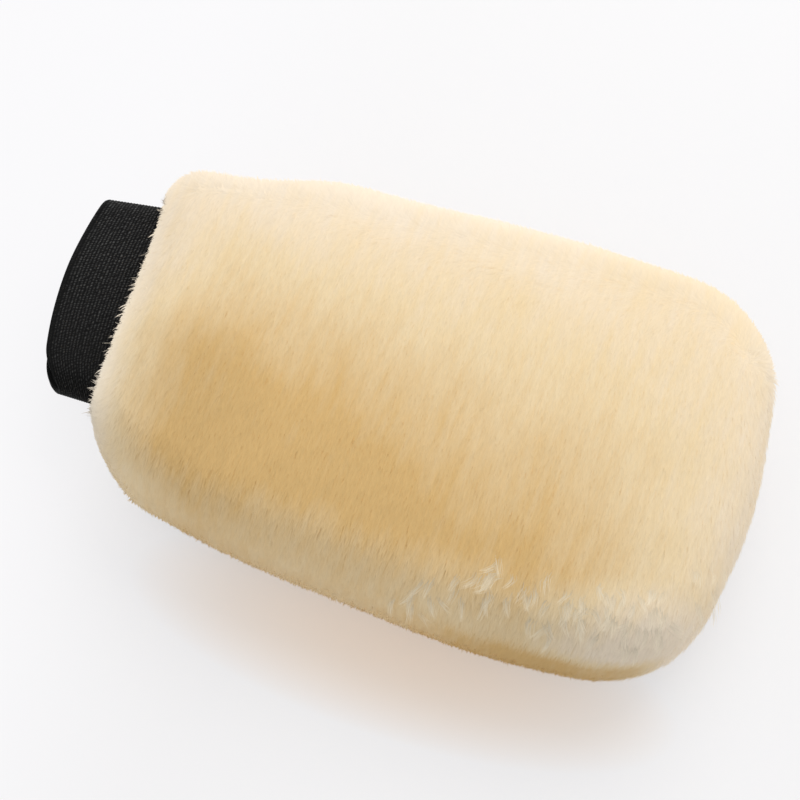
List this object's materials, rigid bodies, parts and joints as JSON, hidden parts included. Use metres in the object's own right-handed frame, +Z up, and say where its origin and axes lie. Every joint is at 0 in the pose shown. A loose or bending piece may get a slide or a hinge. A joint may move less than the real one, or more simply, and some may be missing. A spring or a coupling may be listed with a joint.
{
  "type": "wash mitt",
  "caption": "Thick shorn sheepskin wash mitt, wool on both faces, with a hand pocket and a flat loop of black woven elastic as its cuff.",
  "frame": {"origin": "middle of the whole mitt in plan, on the flat surface that its palm side lies on", "axes": "+X along the mitt towards the fingertips, +Y across it, +Z up out of the back of the hand"},
  "size_m": [0.28, 0.1798, 0.059],
  "materials": {
    "wool": "dense shorn lambswool, cream to honey, pale at the tips",
    "hide": "undyed suede, flesh side of the sheepskin",
    "seam_thread": "natural bonded polyester thread",
    "cuff_thread": "black polyester thread",
    "elastic": "matt black woven elastic with fine ribs round the wrist"
  },
  "bodies": {
    "root": {"back_fleece": "wool", "palm_fleece": "wool", "back_hide": "hide", "palm_hide": "hide", "side_seam_stitches": "seam_thread", "cuff_seam_stitches": "cuff_thread", "cuff_band": "elastic", "cuff_joint_stitches": "cuff_thread"}
  },
  "joints": []
}
